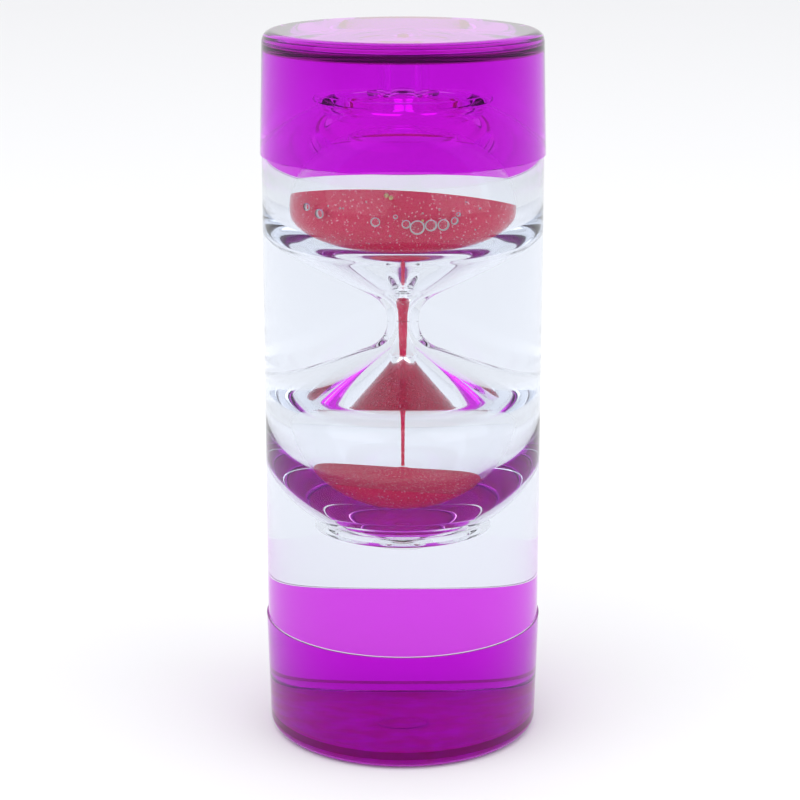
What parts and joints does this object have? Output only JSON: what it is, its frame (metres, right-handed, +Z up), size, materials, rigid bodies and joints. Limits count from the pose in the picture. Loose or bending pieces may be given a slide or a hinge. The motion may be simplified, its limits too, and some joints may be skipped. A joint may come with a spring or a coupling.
{
  "type": "liquid motion timer",
  "caption": "Sealed clear tube of oil with see-through purple end caps and a floating closed hourglass of pink-red sand inside, which slides along the tube.",
  "frame": {"origin": "centre of the foot, on the surface that the timer stands on", "axes": "+Z up along the tube, from the foot to the top cap; the tube is round, so X and Y are free, and -Y faces the viewer of the picture"},
  "size_m": [0.0526, 0.0526, 0.134],
  "materials": {
    "tube_acrylic": "gloss",
    "purple_acrylic": "gloss",
    "hourglass_plastic": "gloss",
    "sand": "matte"
  },
  "bodies": {
    "vessel": {"tube": "tube_acrylic", "top_cap": "purple_acrylic", "bottom_cap": "purple_acrylic", "fill_plug": "purple_acrylic"},
    "hourglass": {"upper_bulb": "hourglass_plastic", "lower_bulb": "hourglass_plastic", "upper_lid": "hourglass_plastic", "lower_lid": "hourglass_plastic", "upper_plug": "hourglass_plastic", "lower_plug": "hourglass_plastic", "upper_sand": "sand", "lower_sand": "sand", "sand_stream": "sand"}
  },
  "joints": [
    {"name": "hourglass_float", "type": "slide", "parent": "vessel", "child": "hourglass", "axis": [0, 0, 1], "range_m": [-0.034, 0], "stiffness_N_per_m": 5, "springref_m": 0.25}
  ]
}
